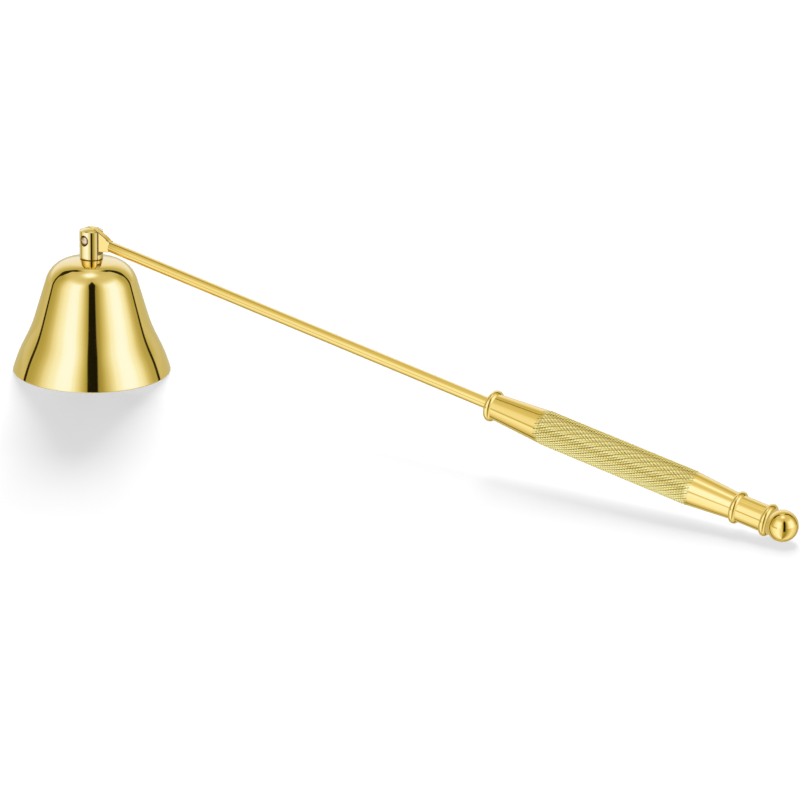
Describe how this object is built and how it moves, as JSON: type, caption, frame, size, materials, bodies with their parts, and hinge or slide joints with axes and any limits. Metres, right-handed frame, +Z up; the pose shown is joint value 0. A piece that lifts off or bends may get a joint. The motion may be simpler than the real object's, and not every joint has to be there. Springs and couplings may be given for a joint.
{
  "type": "candle snuffer",
  "caption": "Candle snuffer with a hinged bell cup on a slim straight stem and a knurled tapered handle ending in a ball, in polished gold-coloured metal.",
  "frame": {"origin": "centre of the bell's mouth, on the table", "axes": "+Z up the bell's axis, +X along the handle as seen from above, +Y along the hinge pin"},
  "size_m": [0.2189, 0.0398, 0.0374],
  "materials": {
    "polished_gold": "mirror polished, gold plated",
    "knurled_gold": "bright, diamond knurled band between polished tapers",
    "plated_steel": "zinc plated"
  },
  "bodies": {
    "handle": {"hinge_lug": "polished_gold", "stem_rod": "polished_gold", "front_ferrule": "polished_gold", "grip": "knurled_gold", "rear_collar": "polished_gold", "ball_finial": "polished_gold"},
    "bell": {"bell_cup": "polished_gold", "clevis_post": "polished_gold", "flat_washer": "plated_steel", "spring_washer": "plated_steel", "crown_nut": "plated_steel", "hinge_pin": "polished_gold"}
  },
  "joints": [
    {"name": "bell_swing", "type": "hinge", "parent": "handle", "child": "bell", "pos_m": [0, 0, 0.03422], "axis": [0, 1, 0], "range_deg": [-10, 200]}
  ]
}
